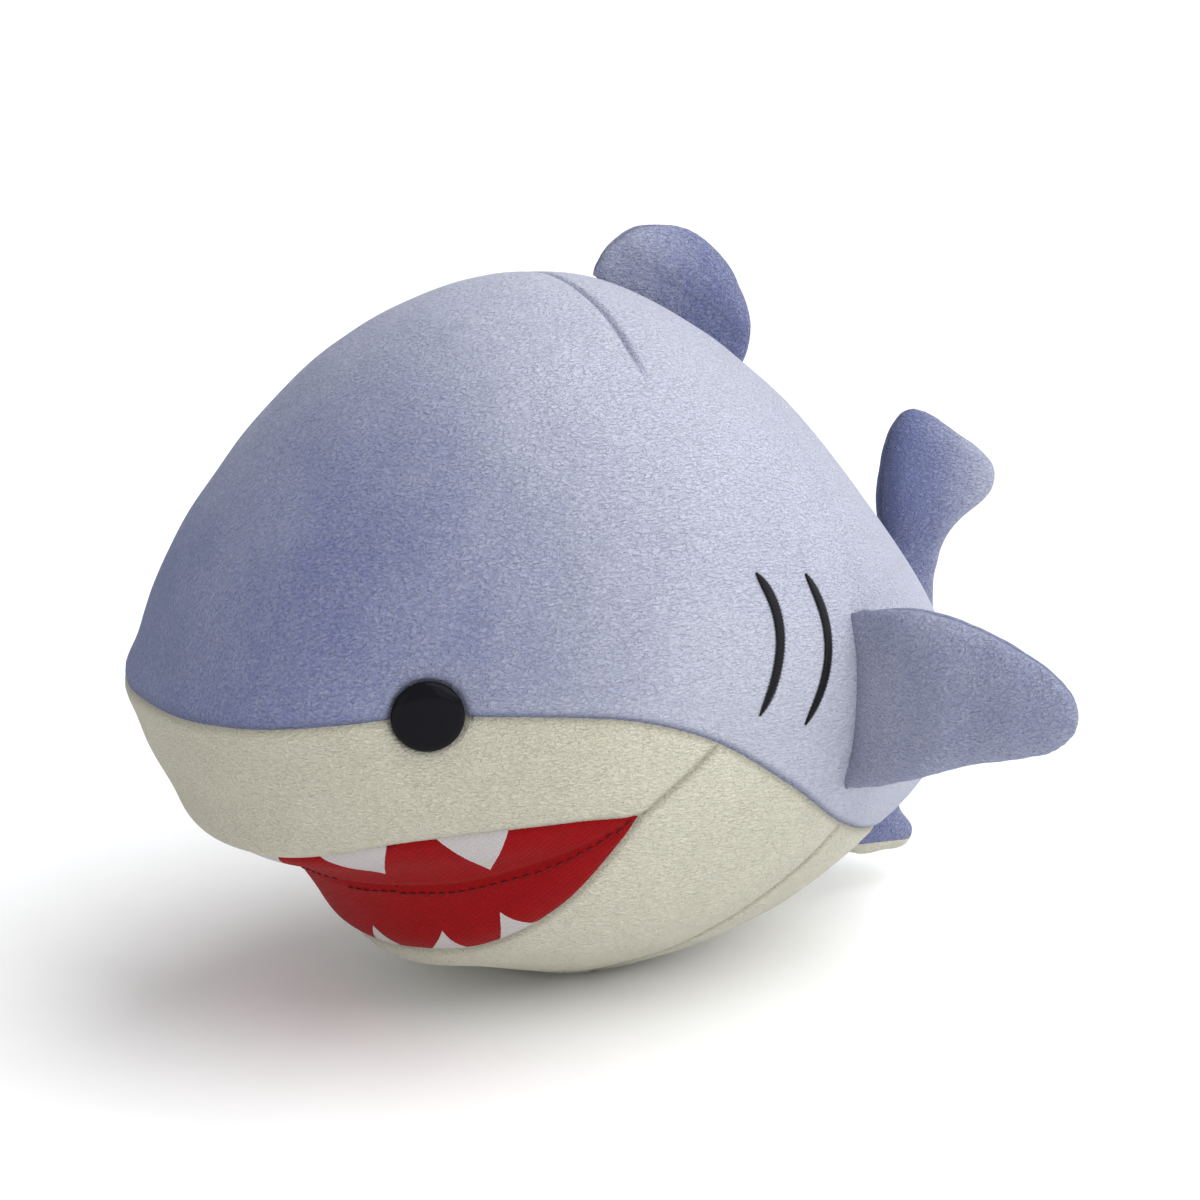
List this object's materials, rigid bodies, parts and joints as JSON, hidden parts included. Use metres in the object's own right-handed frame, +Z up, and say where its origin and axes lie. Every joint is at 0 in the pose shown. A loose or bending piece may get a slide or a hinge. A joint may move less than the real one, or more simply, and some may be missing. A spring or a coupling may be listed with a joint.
{
  "type": "plush shark",
  "caption": "Round stuffed plush shark with a wide sewn mouth, button eyes, floppy sewn-on fins and an upright tail fin.",
  "frame": {"origin": "middle of the shark's outline seen from above, on the surface that its belly rests on", "axes": "+Z up, nose towards -Y, the shark's left side at +X"},
  "size_m": [0.316, 0.3581, 0.2695],
  "materials": {
    "blue_plush": "matte",
    "cream_plush": "matte",
    "red_cloth": "matte",
    "fibrefill": "matte",
    "black_plastic": "gloss",
    "white_plastic": "satin",
    "black_thread": "satin",
    "blue_thread": "satin",
    "red_thread": "satin"
  },
  "bodies": {
    "body": {"back_panel": "blue_plush", "muzzle_panel": "cream_plush", "throat_panel": "cream_plush", "belly_panel": "cream_plush", "mouth_lining_upper": "red_cloth", "mouth_lining_lower": "red_cloth", "mouth_fold_stitches": "red_thread", "eye_left": "black_plastic", "eye_right": "black_plastic", "eye_washer_left": "white_plastic", "eye_washer_right": "white_plastic", "gill_stitching_left": "black_thread", "gill_stitching_right": "black_thread", "crown_dart_thread": "blue_thread", "body_stuffing": "fibrefill"},
    "pectoral_fin_left": {"pectoral_left_front_panel": "blue_plush", "pectoral_left_back_panel": "blue_plush", "pectoral_left_stuffing": "fibrefill"},
    "pectoral_fin_right": {"pectoral_right_front_panel": "blue_plush", "pectoral_right_back_panel": "blue_plush", "pectoral_right_stuffing": "fibrefill"},
    "dorsal_fin": {"dorsal_left_panel": "blue_plush", "dorsal_right_panel": "blue_plush", "dorsal_stuffing": "fibrefill"},
    "tail_fin": {"tail_left_panel": "blue_plush", "tail_right_panel": "blue_plush", "tail_gusset": "cream_plush", "tail_stuffing": "fibrefill"}
  },
  "joints": [
    {"name": "pectoral_left_flap", "type": "hinge", "parent": "body", "child": "pectoral_fin_left", "pos_m": [0.098, 0.0415, 0.115], "axis": [0, 0, 1], "range_deg": [-25, 25], "stiffness_Nm_per_rad": 0.05},
    {"name": "pectoral_right_flap", "type": "hinge", "parent": "body", "child": "pectoral_fin_right", "pos_m": [-0.098, 0.0415, 0.115], "axis": [0, 0, -1], "range_deg": [-25, 25], "stiffness_Nm_per_rad": 0.05},
    {"name": "dorsal_fold", "type": "hinge", "parent": "body", "child": "dorsal_fin", "pos_m": [0, 0.027, 0.237], "axis": [0, 0.8339, -0.5519], "range_deg": [-20, 20], "stiffness_Nm_per_rad": 0.03},
    {"name": "tail_swing", "type": "hinge", "parent": "body", "child": "tail_fin", "pos_m": [0, 0.1455, 0.078], "axis": [0, 0, 1], "range_deg": [-25, 25], "stiffness_Nm_per_rad": 0.05}
  ]
}
